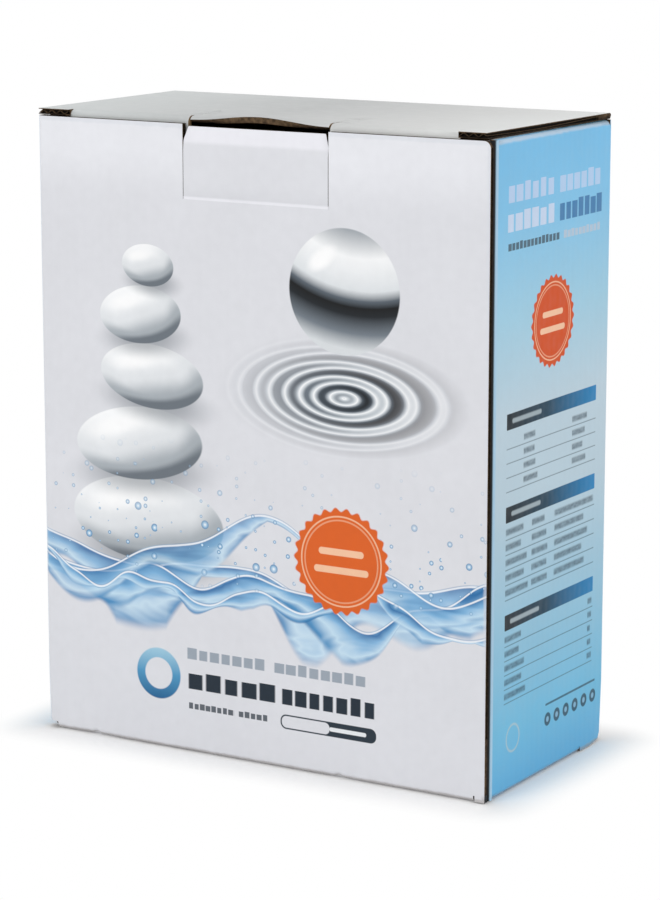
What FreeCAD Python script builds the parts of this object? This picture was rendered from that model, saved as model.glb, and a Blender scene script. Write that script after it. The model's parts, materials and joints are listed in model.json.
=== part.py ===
import FreeCAD, Part
import math
import os

# A folding carton of fine-flute corrugated board, with a tuck lid and a snap-lock bottom.
# Millimetres. The printed front faces -Y, the lid is hinged at the back, +Z is up,
# and the origin is on the floor under the middle of the box.

# Box, outside, with the lid shut
box_width = 160.0
box_depth = 79.0
box_height = 200.0

# Board and creases
board = 1.8
inside_bend = 0.4
corner_foot = 0.4

# Glued joint at the front right corner
glue_width = 16.0
glue_foot = 7.0
glue_land = 1.5
front_edge_inset = 0.4
front_corner_radius = 2.2

# Lid, its tuck flap and the slits at the ends of the tuck crease
lid_gap = 0.4
lid_side_gap = 0.2
lid_taper = 1.1
lid_skew = 1.1
slit_length = 11.5
slit_inset = 1.0
slit_gap = 0.5
tuck_depth = 20.0
tuck_side_gap = 0.7
tuck_side_slope = 34.0
tuck_corner_radius = 9.0
tuck_shoulder = 3.5
swing_gap = 0.3
crease_gap = 0.3

# Slot in the tuck crease, and the lid's sprung lip above it
slot_width = 50.0
slot_drop = 8.0
slot_end_cut = 0.6
lip_length = 2.3
lip_droop = 60.0
lip_lift = 0.8
lip_reach = 22.0
lip_steps = 4
lip_fold_steps = 3

# Locking tongue cut into the front panel
tongue_width = 51.0
tongue_height = 22.4
tongue_drop = 0.7
tongue_cut = 0.2
tongue_tip_height = 6.0
tongue_tip_thickness = 0.7
tongue_chamfer_width = 1.3
tongue_chamfer_height = 4.0
score_width = 0.9
score_depth = 0.4

# Dust flaps under the lid
dust_length = 38.0
dust_front_gap = 0.5
dust_back_gap = 1.5
dust_taper = 7.0
dust_chamfer = 12.0
dust_corner_radius = 5.0

# Snap-lock bottom: the front flap lies lowest, then the side flaps, then the back flap,
# and the front flap's tab climbs through the back flap's notch
ply_gap = 0.2
bottom_side_gap = 2.0
side_rise_run = 10.0
side_flap_tab_gap = 2.0
side_flap_front_cut = 17.5
side_flap_back_cut = 14.0
back_rise_run = 12.0
back_flap_depth = 54.0
back_leg_taper = 6.0
notch_width = 72.0
notch_depth = 24.0
tab_gap = 2.0
tab_rise_run = 18.0
tab_grip = 9.0
flap_corner_radius = 3.0

# What follows from them
half_width = box_width / 2
half_depth = box_depth / 2
outside_bend = inside_bend + board
lid_top = box_height - lip_lift
lid_under = lid_top - board
panel_top = lid_under - lid_gap
crease_x = half_width - outside_bend
crease_y = half_depth - outside_bend
glue_face_y = -half_depth + board
side_crease_front = glue_face_y + outside_bend
level_step = board + ply_gap
tuck_radius = box_depth - board - swing_gap
tuck_reach = tuck_radius - outside_bend
tuck_lean = math.degrees(math.asin(outside_bend / tuck_reach))
tuck_turn = math.degrees(tuck_depth / tuck_radius)
tuck_crease_y = half_depth - tuck_reach * math.cos(math.radians(tuck_lean))
land_x = crease_x - glue_land
tuck_half_width = land_x - tuck_side_gap
tuck_foot = lid_top - tuck_radius * math.sin(math.radians(tuck_lean + tuck_turn))
tab_half_width = notch_width / 2 - tab_gap
side_flap_length = crease_x - tab_half_width - side_flap_tab_gap
tongue_root = panel_top - tongue_height
tongue_top = panel_top - tongue_drop
margin = 5.0


def in_plan(u, v):
    return FreeCAD.Vector(u, v, 0)


def across(u, v):
    return FreeCAD.Vector(u, 0, v)


def along(u, v):
    return FreeCAD.Vector(0, u, v)


def step_from(point, heading, distance):
    angle = math.radians(heading)
    return (point[0] + distance * math.cos(angle), point[1] + distance * math.sin(angle))


# A strip of board seen on edge: it starts at a point on its middle line and follows
# straight runs, (length,), and bends, (angle to the left, inside radius).
def board_section(point, heading, steps, plane):
    left_edges = []
    right_edges = []
    first_heading = heading
    first_point = point
    for step in steps:
        if len(step) == 1:
            after = step_from(point, heading, step[0])
            for edges, side in ((left_edges, 90), (right_edges, -90)):
                start = step_from(point, heading + side, board / 2)
                end = step_from(after, heading + side, board / 2)
                edges.append(Part.LineSegment(plane(*start), plane(*end)).toShape())
        else:
            angle, inside = step
            side = math.copysign(90, angle)
            middle_radius = inside + board / 2
            centre = step_from(point, heading + side, middle_radius)
            for edges, radius in ((left_edges, middle_radius - math.copysign(board / 2, angle)),
                                  (right_edges, middle_radius + math.copysign(board / 2, angle))):
                arc = [plane(*step_from(centre, heading - side + angle * share, radius))
                       for share in (0, 0.5, 1)]
                edges.append(Part.Arc(*arc).toShape())
            after = step_from(centre, heading - side + angle, middle_radius)
            heading = heading + angle
        point = after
    caps = []
    for end, turn in ((first_point, first_heading), (point, heading)):
        corners = [plane(*step_from(end, turn + side, board / 2)) for side in (90, -90)]
        caps.append(Part.LineSegment(*corners).toShape())
    edges = left_edges + [caps[1]] + right_edges[::-1] + [caps[0]]
    return Part.Face(Part.Wire(edges))


# A flat outline from corners (u, v, radius), rounded where the radius isn't zero.
def outline(corners, plane):
    count = len(corners)
    starts = []
    ends = []
    arcs = []
    for index, (u, v, radius) in enumerate(corners):
        corner = plane(u, v)
        before = plane(*corners[index - 1][:2]) - corner
        after = plane(*corners[(index + 1) % count][:2]) - corner
        if radius == 0:
            starts.append(corner)
            ends.append(corner)
            arcs.append(None)
            continue
        half_angle = before.getAngle(after) / 2
        before_length = before.Length
        after_length = after.Length
        before.normalize()
        after.normalize()
        cut = min(radius / math.tan(half_angle), 0.45 * before_length, 0.45 * after_length)
        held_radius = cut * math.tan(half_angle)
        inward = before + after
        inward.normalize()
        centre = corner + inward * (held_radius / math.sin(half_angle))
        start = corner + before * cut
        end = corner + after * cut
        starts.append(start)
        ends.append(end)
        arcs.append(Part.Arc(start, centre - inward * held_radius, end).toShape())
    edges = []
    for index in range(count):
        if arcs[index] is not None:
            edges.append(arcs[index])
        edges.append(Part.LineSegment(ends[index], starts[(index + 1) % count]).toShape())
    return Part.Face(Part.Wire(edges))


def block(low, high):
    size = [b - a for a, b in zip(low, high)]
    return Part.makeBox(*size, FreeCAD.Vector(*low))


def extrude_x(face, low, high):
    face.translate(FreeCAD.Vector(low, 0, 0))
    return face.extrude(FreeCAD.Vector(high - low, 0, 0))


def extrude_y(face, low, high):
    face.translate(FreeCAD.Vector(0, low, 0))
    return face.extrude(FreeCAD.Vector(0, high - low, 0))


def extrude_z(face, low, high):
    face.translate(FreeCAD.Vector(0, 0, low))
    return face.extrude(FreeCAD.Vector(0, 0, high - low))


def mirrored(shape):
    return shape.mirror(FreeCAD.Vector(0, 0, 0), FreeCAD.Vector(1, 0, 0))


# An S-bend that lifts the board by a rise over a run, turning up to the left or right.
def rise_steps(rise, run, turn):
    angle = 2 * math.atan(rise / run)
    inside = run / (2 * math.sin(angle)) - board / 2
    degrees = math.degrees(angle) * turn
    return [(degrees, inside), (-degrees, inside)]


# The four walls as one folded strip, open at the top and bottom.
def sleeve():
    walls = board_section(
        (half_width - board / 2, side_crease_front), 90,
        [(crease_y - side_crease_front,),
         (90, inside_bend), (2 * crease_x,),
         (90, inside_bend), (2 * crease_y,),
         (90, inside_bend), (crease_x + half_width - front_edge_inset,)],
        in_plan)
    return extrude_z(walls, outside_bend, panel_top)


# The right wall's flap, folded behind the front panel and glued to it. Its upper end slopes
# away under the side of the tuck flap.
def glue_flap():
    flap = extrude_z(board_section(
        (half_width - glue_width, glue_face_y + board / 2), 0,
        [(glue_width - outside_bend,), (90, inside_bend)],
        in_plan), outside_bend, panel_top)
    slope = math.tan(math.radians(90 - tuck_side_slope))
    shoulder = lid_top - tuck_shoulder - 2 * outside_bend
    end = land_x - glue_width
    upper = outline([(land_x, panel_top + margin, 0), (land_x, shoulder, 0),
                     (end, shoulder - glue_width * slope, 0), (end, panel_top + margin, 0)], across)
    lower = outline([(land_x, outside_bend, 0), (end, outside_bend + glue_width / 2, 0),
                     (end, 0, 0), (land_x, 0, 0)], across)
    foot = block((end, -half_depth, 0), (land_x, side_crease_front, glue_foot))
    for waste in (extrude_y(upper, -half_depth, side_crease_front),
                  extrude_y(lower, -half_depth, side_crease_front), foot):
        flap = flap.cut(waste)
    return flap


# The foot of the glued corner, where the front panel and the fold behind it reach the floor.
def corner_foot_block(walls):
    region = block((land_x, -half_depth, outside_bend),
                   (half_width, side_crease_front, 2 * outside_bend - corner_foot))
    foot = walls.common(region)
    foot.translate(FreeCAD.Vector(0, 0, corner_foot - outside_bend))
    return foot


# A dust flap folded in from the top of the right wall.
def dust_flap():
    strip = extrude_y(board_section(
        (half_width - board / 2, panel_top - outside_bend), 90,
        [(90, inside_bend), (dust_length,)],
        across), side_crease_front, crease_y)
    tip = crease_x - dust_length
    front = half_depth - (tuck_radius - board - dust_front_gap - swing_gap)
    back = half_depth - board - dust_back_gap
    shape = outline([(half_width + margin, side_crease_front, 0), (crease_x, side_crease_front, 0),
                     (crease_x, front, 0), (crease_x - slit_length, front, 0),
                     (tip, front + dust_taper, dust_corner_radius),
                     (tip, back - dust_chamfer, dust_corner_radius),
                     (crease_x - dust_chamfer, back, dust_corner_radius),
                     (crease_x, back, 0), (crease_x, crease_y, 0),
                     (half_width + margin, crease_y, 0)], in_plan)
    return strip.common(extrude_z(shape, panel_top - box_height / 4, panel_top + margin))


# The lowest flap, from the front panel, with the tab that climbs through the notch.
def front_bottom_flap():
    notch_base = half_depth - back_flap_depth + notch_depth
    rise_end = notch_base - ply_gap
    shoulder = rise_end - tab_rise_run
    tab_end = rise_end + tab_grip
    root = crease_x - bottom_side_gap
    cut_end = root - side_rise_run
    strip = extrude_x(board_section(
        (-half_depth + board / 2, outside_bend), -90,
        [(90, inside_bend), (shoulder + crease_y,)]
        + rise_steps(3 * level_step, tab_rise_run, 1) + [(tab_end - rise_end,)],
        along), -root, root)
    shape = outline([(-root, -half_depth - margin, 0), (root, -half_depth - margin, 0),
                     (root, -crease_y, 0), (cut_end, -crease_y + side_rise_run, 0),
                     (cut_end, shoulder, flap_corner_radius), (tab_half_width, shoulder, 0),
                     (tab_half_width, tab_end, 2 * flap_corner_radius),
                     (-tab_half_width, tab_end, 2 * flap_corner_radius), (-tab_half_width, shoulder, 0),
                     (-cut_end, shoulder, flap_corner_radius),
                     (-cut_end, -crease_y + side_rise_run, 0), (-root, -crease_y, 0)], in_plan)
    return strip.common(extrude_z(shape, -margin, box_height / 4))


# The right wall's bottom flap, one ply above the front flap, cut clear of the back flap's rise.
def side_bottom_flap():
    back = crease_y - back_rise_run - bottom_side_gap
    strip = extrude_y(board_section(
        (half_width - board / 2, outside_bend), -90,
        [(-90, inside_bend)] + rise_steps(level_step, side_rise_run, -1)
        + [(side_flap_length - side_rise_run,)],
        across), side_crease_front, back)
    tip = crease_x - side_flap_length
    front = side_crease_front
    shape = outline([(half_width + margin, front, 0), (crease_x, front, 0),
                     (crease_x - side_flap_front_cut, front + side_flap_front_cut, flap_corner_radius),
                     (tip, front + side_flap_front_cut, flap_corner_radius),
                     (tip, back - side_flap_back_cut, flap_corner_radius),
                     (tip + side_flap_back_cut, back, flap_corner_radius),
                     (half_width + margin, back, 0)], in_plan)
    flap = strip.common(extrude_z(shape, -margin, box_height / 4))
    # Behind the flap the wall ends in a cut edge just off the floor.
    wall_end = block((half_width - board, back, corner_foot), (half_width, crease_y, outside_bend))
    return flap.fuse(wall_end)


# The innermost flap, from the back wall, with the notch that holds the tab.
def back_bottom_flap():
    root = crease_x - bottom_side_gap
    end = half_depth - back_flap_depth
    notch_base = end + notch_depth
    notch_half = notch_width / 2
    strip = extrude_x(board_section(
        (half_depth - board / 2, outside_bend), -90,
        [(-90, inside_bend)] + rise_steps(2 * level_step, back_rise_run, -1)
        + [(back_flap_depth - outside_bend - back_rise_run,)],
        along), -root, root)
    shape = outline([(-root, half_depth + margin, 0), (-root, crease_y - back_rise_run, 0),
                     (-root + back_leg_taper, end, flap_corner_radius),
                     (-notch_half - back_leg_taper, end, flap_corner_radius),
                     (-notch_half, notch_base, flap_corner_radius),
                     (notch_half, notch_base, flap_corner_radius),
                     (notch_half + back_leg_taper, end, flap_corner_radius),
                     (root - back_leg_taper, end, flap_corner_radius),
                     (root, crease_y - back_rise_run, 0), (root, half_depth + margin, 0)], in_plan)
    return strip.common(extrude_z(shape, -margin, box_height / 4))


# The wedge under the mitre line between the back wall and the lid, shifted by half the gap.
def mitre_wedge(above):
    shift = crease_gap / 2 if above else -crease_gap / 2
    far = board + margin
    if above:
        corners = [(half_depth + margin, lid_top + margin + shift, 0),
                   (half_depth - far, lid_top - far + shift, 0),
                   (half_depth + margin, lid_top - far + shift, 0)]
    else:
        corners = [(half_depth + margin, lid_top + margin + shift, 0),
                   (half_depth - far, lid_top + margin + shift, 0),
                   (half_depth - far, lid_top - far + shift, 0)]
    return extrude_x(outline(corners, along), -box_width, box_width)


# What lies outside the rounded crease along the hinge.
def hinge_rounding():
    corner = block((-box_width, crease_y, lid_top - outside_bend),
                   (box_width, half_depth + margin, lid_top + margin))
    roller = Part.makeCylinder(outside_bend, 2 * box_width,
                               FreeCAD.Vector(-box_width, crease_y, lid_top - outside_bend),
                               FreeCAD.Vector(1, 0, 0))
    return corner.cut(roller)


# The pressed line that the tongue folds on.
def tongue_score():
    corners = [(-half_depth - score_width, tongue_root + 3 * score_width / 2, 0),
               (-half_depth - score_width, tongue_root - 3 * score_width / 2, 0),
               (-half_depth, tongue_root - score_width / 2, 0),
               (-half_depth + score_depth, tongue_root, 0),
               (-half_depth, tongue_root + score_width / 2, 0)]
    half = tongue_width / 2 + tongue_cut
    return extrude_x(outline(corners, along), -half, half)


# The carton below its lid: one folded and glued piece of board.
def carton_body():
    walls = sleeve().fuse(glue_flap())
    body = walls.fuse(corner_foot_block(walls))
    # The side walls stop where their dust flaps fold in.
    top_waste = block((crease_x, side_crease_front, panel_top - outside_bend),
                      (half_width + margin, crease_y, panel_top + margin))
    body = body.cut(top_waste).cut(mirrored(top_waste))
    for flap in (dust_flap(), side_bottom_flap()):
        body = body.fuse(flap).fuse(mirrored(flap))
    body = body.fuse(front_bottom_flap()).fuse(back_bottom_flap())
    # The back wall runs up to the crease that the lid hinges on.
    back_top = block((-crease_x, half_depth - board, panel_top), (crease_x, half_depth, lid_top))
    body = body.fuse(back_top.cut(mitre_wedge(False)).cut(hinge_rounding()))
    # The front panel's free upper corner is rounded.
    free_end = half_width - front_edge_inset
    lost_corner = outline([(free_end - front_corner_radius, panel_top - front_corner_radius, 0),
                           (free_end + margin, panel_top - front_corner_radius, 0),
                           (free_end + margin, panel_top + margin, 0),
                           (free_end - front_corner_radius, panel_top + margin, 0)], across)
    roller = Part.makeCylinder(front_corner_radius, 3 * board,
                               FreeCAD.Vector(free_end - front_corner_radius, -half_depth - board,
                                              panel_top - front_corner_radius),
                               FreeCAD.Vector(0, 1, 0))
    body = body.cut(extrude_y(lost_corner, -half_depth - board, glue_face_y).cut(roller))
    # The tongue is cut out of the front panel.
    half = tongue_width / 2 + tongue_cut
    window = block((-half, -half_depth - margin, tongue_root - tongue_cut / 4),
                   (half, glue_face_y, panel_top + margin))
    return body.cut(window).cut(tongue_score()).removeSplitter()


# The lid's lip behind the slot, from its flat root to the cut edge. At its ends it follows the
# fold, and in its middle it has sprung flat and stands a little above the lid.
def lifted_lip():
    reach = [lip_reach * (1 - share / lip_steps) for share in range(lip_steps + 1)]
    sections = []
    for station in range(2 * lip_steps + 1):
        x = slot_width * (station / (2 * lip_steps) - 0.5)
        wave = math.cos(math.pi * x / slot_width) ** 2
        droop = math.radians(lip_droop) * (1 - wave)
        upper = []
        lower = []
        for distance in reach:
            lift = lip_lift * wave * math.cos(distance / lip_reach * math.pi / 2) ** 2
            upper.append(FreeCAD.Vector(x, tuck_crease_y + distance, lid_top + lift))
            lower.append(FreeCAD.Vector(x, tuck_crease_y + distance, lid_under + lift))
        for step in range(1, lip_fold_steps + 1):
            share = step / lip_fold_steps
            length = lip_length * share
            angle = droop * share
            # The chord of the bent part, as far as this point.
            chord = length * (math.sin(angle / 2) / (angle / 2) if angle > 0 else 1)
            y = tuck_crease_y - chord * math.cos(angle / 2)
            z = lid_top + lip_lift * wave - chord * math.sin(angle / 2)
            upper.append(FreeCAD.Vector(x, y, z))
            lower.append(FreeCAD.Vector(x, y + board * math.sin(angle), z - board * math.cos(angle)))
        edges = []
        for points in (upper, lower):
            curve = Part.BSplineCurve()
            curve.interpolate(points)
            edges.append(curve.toShape())
        root = Part.LineSegment(upper[0], lower[0]).toShape()
        tip = Part.LineSegment(upper[-1], lower[-1]).toShape()
        sections.append(Part.Wire([edges[0], tip, edges[1], root]))
    lip = Part.makeLoft(sections, True)
    # Small end cuts part it from the fold.
    half = slot_width / 2
    for low, high in ((-half - margin, -half + slot_end_cut), (half - slot_end_cut, half + margin)):
        lip = lip.cut(block((low, -half_depth, lid_under - margin),
                            (high, tuck_crease_y + slot_end_cut, lid_top + margin)))
    return lip


# The lid: its panel, the tuck flap curved to the lid's swing, the slits and the slot.
def top_lid():
    back_half = half_width - lid_side_gap
    front_half = back_half - lid_taper
    slit_y = -half_depth + slit_inset
    fold_half = half_width - slit_length
    panel = extrude_z(outline([(-back_half, half_depth, 0), (-front_half - lid_skew, slit_y, 0),
                               (front_half - lid_skew, slit_y, 0), (back_half, half_depth, 0)],
                              in_plan), lid_under, lid_top)
    panel = panel.cut(block((-fold_half, slit_y - margin, lid_under - margin),
                            (fold_half, tuck_crease_y, lid_top + margin)))
    fold = extrude_x(board_section(
        (tuck_crease_y, lid_top - board / 2), 180,
        [(90 + tuck_lean, inside_bend), (tuck_turn, tuck_radius - board)],
        along), -fold_half, fold_half)
    # Past the slits the tuck flap has shoulders of its own under the lid's corners.
    middle_radius = tuck_radius - board / 2
    shoulder_angle = math.degrees(math.asin((board + slit_gap) / (tuck_radius - board)))
    centre = (half_depth, lid_top)
    shoulders = extrude_x(board_section(
        step_from(centre, 180 + shoulder_angle, middle_radius), 270 + shoulder_angle,
        [(tuck_lean + tuck_turn - shoulder_angle, tuck_radius - board)],
        along), -tuck_half_width, tuck_half_width)
    slope = math.tan(math.radians(tuck_side_slope))
    shoulder_z = lid_top - tuck_shoulder
    foot_half = tuck_half_width - (shoulder_z - tuck_foot) * slope
    front_view = outline([(-tuck_half_width, lid_top, 0), (-tuck_half_width, shoulder_z, 0),
                          (-foot_half, tuck_foot, tuck_corner_radius),
                          (foot_half, tuck_foot, tuck_corner_radius),
                          (tuck_half_width, shoulder_z, 0), (tuck_half_width, lid_top, 0)], across)
    tuck_region = extrude_y(front_view, -half_depth, half_depth)
    lid = panel.fuse(fold.fuse(shoulders).common(tuck_region))
    # The slot takes out the middle of the crease.
    lid = lid.cut(block((-slot_width / 2, -half_depth - margin, lid_top - slot_drop),
                        (slot_width / 2, tuck_crease_y, lid_top + margin)))
    flat_patch = block((-slot_width / 2, tuck_crease_y, lid_under - margin),
                       (slot_width / 2, tuck_crease_y + lip_reach, lid_top + margin))
    lid = lid.cut(flat_patch).fuse(lifted_lip())
    return lid.cut(mitre_wedge(True)).cut(hinge_rounding()).removeSplitter()


# The tongue: it stands in the front panel on its score, with its tip pressed thin.
def locking_tongue():
    face = -half_depth
    bend_z = tongue_top - tongue_tip_height
    foot = tongue_root + tongue_cut / 4
    section = outline([(face, foot, 0), (face, bend_z, 4 * tongue_tip_height),
                       (glue_face_y - tongue_tip_thickness, tongue_top, tongue_tip_thickness / 3),
                       (glue_face_y, tongue_top, 0), (glue_face_y, foot, 0)], along)
    half = tongue_width / 2
    tongue = extrude_x(section, -half, half)
    shoulder = tongue_top - tongue_chamfer_height
    tip_half = half - tongue_chamfer_width
    front_view = outline([(-half, foot, 0), (half, foot, 0), (half, shoulder, tongue_chamfer_height),
                          (tip_half, tongue_top, tongue_chamfer_width / 2),
                          (-tip_half, tongue_top, tongue_chamfer_width / 2),
                          (-half, shoulder, tongue_chamfer_height)], across)
    tongue = tongue.common(extrude_y(front_view, face - margin, glue_face_y + margin))
    return tongue.cut(tongue_score())


os.makedirs("parts", exist_ok=True)
for name, shape in (("carton_body", carton_body()), ("top_lid", top_lid()),
                    ("locking_tongue", locking_tongue())):
    solid = shape.Solids[0]
    print(name, len(shape.Solids), shape.isValid(), round(solid.Volume / 1000, 2), "cm3", solid.BoundBox)
    shape.exportStep("parts/" + name + ".step")
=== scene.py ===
import json
import math

import bmesh
import bpy
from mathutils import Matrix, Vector, noise


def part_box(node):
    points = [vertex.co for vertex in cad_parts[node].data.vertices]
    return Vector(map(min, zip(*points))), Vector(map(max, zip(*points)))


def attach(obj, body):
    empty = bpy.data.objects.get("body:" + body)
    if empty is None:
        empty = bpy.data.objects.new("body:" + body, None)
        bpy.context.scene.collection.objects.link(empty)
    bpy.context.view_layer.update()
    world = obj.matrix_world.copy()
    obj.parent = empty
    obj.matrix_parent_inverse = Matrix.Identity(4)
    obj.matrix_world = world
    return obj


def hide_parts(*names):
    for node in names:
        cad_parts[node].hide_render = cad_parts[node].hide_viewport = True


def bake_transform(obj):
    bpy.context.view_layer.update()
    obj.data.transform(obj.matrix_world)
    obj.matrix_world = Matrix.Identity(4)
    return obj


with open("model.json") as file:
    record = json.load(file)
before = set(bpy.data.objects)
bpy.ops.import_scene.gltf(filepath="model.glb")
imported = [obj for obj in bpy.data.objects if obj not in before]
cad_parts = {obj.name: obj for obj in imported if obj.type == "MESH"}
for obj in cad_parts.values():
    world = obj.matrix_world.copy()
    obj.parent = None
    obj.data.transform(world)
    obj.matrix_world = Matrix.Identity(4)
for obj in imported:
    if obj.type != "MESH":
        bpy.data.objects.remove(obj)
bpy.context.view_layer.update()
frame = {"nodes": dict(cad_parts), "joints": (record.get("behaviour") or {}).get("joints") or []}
print("frame loaded")

mm = 0.001
hair = 1e-5                      # nearer than this counts as touching
low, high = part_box("carton_body")
hingeHeight = {joint["name"]: joint["pos_m"][2] for joint in frame["joints"]}
lidTop = hingeHeight["lid_hinge"]
tongueRoot = hingeHeight["tongue_hinge"]

# the board that everything is folded from
board = {
    "thickness": 1.8 * mm,
    "liner": 0.27 * mm,          # the sheet on each face
    "flutePitch": 3.3 * mm,      # E flute
    "openDepth": 0.8 * mm,       # how far in from a cut edge the flutes are modelled
    "bendRadius": 2.2 * mm,      # outside, at a fold
    "panelTop": 197.0 * mm,      # where the front panel ends and the dust flaps lie
    "tuckRadius": 76.9 * mm,     # the tuck flap's outer face, from the hinge
    "tuckCrease": 35.17 * mm,    # how far in front of the middle the lid turns down
    "slitStart": 68.5 * mm,      # past this the crease is cut through
    "slotHalf": 25.0 * mm,       # the slot in the middle of the crease
    "lipReach": 6.0 * mm,        # from the top, down to past the slot's sprung lip
    "bottomTop": 12.0 * mm,      # the bottom flaps lie below this
}


def linear(hexColour):
    channels = [int(hexColour[i:i + 2], 16) / 255 for i in (1, 3, 5)]
    return tuple(c / 12.92 if c <= 0.04045 else ((c + 0.055) / 1.055) ** 2.4 for c in channels) + (1.0,)


# Adds one node; a shader node goes by its short name. Its links are given in the order of its
# inputs, or by name, or as the first alone; each is a node, a socket or a plain value. Stops are a
# colour ramp's.
def addNode(tree, kind, links=(), stops=(), **settings):
    node = tree.nodes.new(kind if "Node" in kind else "ShaderNode" + kind)
    for name, value in settings.items():
        setattr(node, name, value)
    if not isinstance(links, (dict, tuple)):
        links = (links,)
    for key, value in links.items() if isinstance(links, dict) else enumerate(links):
        socket = node.inputs[key] if isinstance(key, int) else next(
            s for s in node.inputs if s.enabled and s.name == key)
        if isinstance(value, bpy.types.Node):
            value = next(s for s in value.outputs if s.enabled)
        if isinstance(value, bpy.types.NodeSocket):
            tree.links.new(value, socket)
        else:
            socket.default_value = value
    for index, (position, colour) in enumerate(stops):
        elements = node.color_ramp.elements
        element = elements[index] if index < len(elements) else elements.new(position)
        element.position = position
        element.color = linear(colour)
    return node


def newMaterial(name):
    material = bpy.data.materials.new(name)
    material.use_nodes = True
    material.node_tree.nodes.clear()
    return material


def addObject(name, data):
    made = bpy.data.objects.new(name, data)
    bpy.context.scene.collection.objects.link(made)
    return made


# an object at a place, turned to face another
def addAimed(name, data, place, target):
    made = addObject(name, data)
    made.location = place
    made.rotation_mode = "QUATERNION"
    made.rotation_quaternion = (Vector(target) - Vector(place)).to_track_quat("-Z", "Y")
    return made


# the share where all the masks overlap
def overlap(tree, share, *masks):
    for mask in masks:
        share = addNode(tree, "Math", (share, mask), operation="MULTIPLY")
    return share


# Print is laid out in millimetres, field over field. An ink goes over what is printed so far
# where all its masks overlap.
def layInk(tree, under, ink, *masks):
    if isinstance(ink, str):
        ink = linear(ink)
    return addNode(tree, "Mix", {"Factor": overlap(tree, *masks), "A": under, "B": ink},
                   data_type="RGBA")


# a wave along a value, with its length in the value's own units
def waveField(tree, value, length):
    turn = addNode(tree, "Math", (value, math.tau / length), operation="MULTIPLY")
    return addNode(tree, "Math", turn, operation="SINE")


# 1 within a distance of a value, 0 past it, with a soft edge
def bandField(tree, value, middle, half, soft):
    away = addNode(tree, "Math", (value, middle), operation="SUBTRACT")
    away = addNode(tree, "Math", away, operation="ABSOLUTE")
    return addNode(tree, "MapRange", (away, half - soft, half + soft, 1.0, 0.0),
                   interpolation_type="SMOOTHSTEP")


# A soft-edged ellipse: its mask, its own coordinates, which reach 1 at the edge, and the distance
# from its centre in them.
def ellipseField(tree, place, centre, radii, turn=0.0, soft=0.04):
    if not isinstance(radii, tuple):
        radii = (radii, radii)
    local = addNode(tree, "Mapping", (place, (*centre, 0), (0, 0, math.radians(turn)), (*radii, 1)),
                    vector_type="TEXTURE")
    away = addNode(tree, "VectorMath", local, operation="LENGTH")
    mask = addNode(tree, "MapRange", (away, 1 - soft, 1 + soft, 1.0, 0.0),
                   interpolation_type="SMOOTHSTEP")
    return mask, local, away


# a bar with rounded corners
def barField(tree, place, centre, size, corner, soft=0.12):
    local = addNode(tree, "VectorMath", (place, (*centre, 0)), operation="SUBTRACT")
    local = addNode(tree, "VectorMath", local, operation="ABSOLUTE")
    local = addNode(tree, "VectorMath", (local, (size[0] / 2 - corner, size[1] / 2 - corner, 0)),
                    operation="SUBTRACT")
    local = addNode(tree, "VectorMath", (local, (0, 0, 0)), operation="MAXIMUM")
    away = addNode(tree, "VectorMath", local, operation="LENGTH")
    return addNode(tree, "MapRange", (away, corner - soft, corner + soft, 1.0, 0.0),
                   interpolation_type="SMOOTHSTEP")


# camera, at the photograph's angle
camera = {
    "azimuth": 30.931,
    "elevation": 11.366,
    "distance": 0.97034,
    "target": (0.002557, 0.0, 0.092723),
    "lens": 123.48,
}


def addCamera(values):
    azimuth = math.radians(values["azimuth"])
    elevation = math.radians(values["elevation"])
    back = Vector((math.sin(azimuth) * math.cos(elevation),
                   -math.cos(azimuth) * math.cos(elevation), math.sin(elevation)))
    data = bpy.data.cameras.new("camera")
    data.lens = values["lens"]
    data.clip_end = 50
    target = Vector(values["target"])
    bpy.context.scene.camera = addAimed("camera", data, target + back * values["distance"], target)


# studio: pale floor, soft light
studio = {
    "floorHalf": 15.0,
    "floorTone": "#fbfbfb",
    "shadowReach": 0.02,         # how far from the box the lit floor turns to plain white
    "worldLight": 0.6,
    "lamps": {                  # place, size, power
        "key": ((-0.55, -1.75, 1.05), 1.1, 11.5),
        "side": ((1.85, -0.15, 0.75), 1.1, 9.0),
        "top": ((0.0, 0.2, 1.9), 1.2, 4.0),
    },
    "lampTarget": (0, 0, 0.1),
}


# 1 where the camera sees a thing straight or in a reflection
def seenShare(tree):
    path = addNode(tree, "LightPath")
    return addNode(tree, "Math", (path.outputs["Is Camera Ray"], path.outputs["Is Glossy Ray"]),
                   operation="MAXIMUM")


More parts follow.
